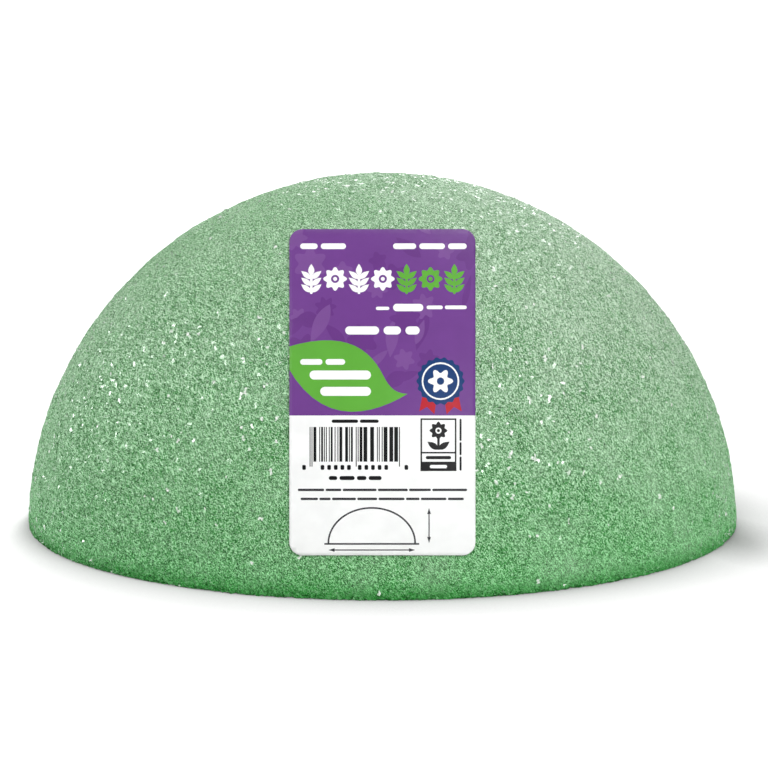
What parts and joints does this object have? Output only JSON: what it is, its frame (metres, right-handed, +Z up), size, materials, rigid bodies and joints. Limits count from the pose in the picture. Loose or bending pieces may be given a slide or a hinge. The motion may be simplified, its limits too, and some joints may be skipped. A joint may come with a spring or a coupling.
{
  "type": "craft foam half ball",
  "caption": "Rigid green craft foam half ball with a flat round base, for pinning dry and silk flowers, and a rounded rectangular printed label stuck on its front.",
  "frame": {"origin": "centre of the flat round base, where it rests on a table", "axes": "+Z up through the crown of the dome, -Y out through the front, where the label is, +X to the right of someone facing the label"},
  "size_m": [0.1979, 0.1979, 0.0965],
  "materials": {
    "foam": "open-cell crushed look, matte with small glints",
    "label_adhesive": "clear tacky coat",
    "label_face": "printed satin film"
  },
  "bodies": {
    "root": {"foam_half_ball": "foam", "label_adhesive": "label_adhesive", "label_face": "label_face"}
  },
  "joints": []
}
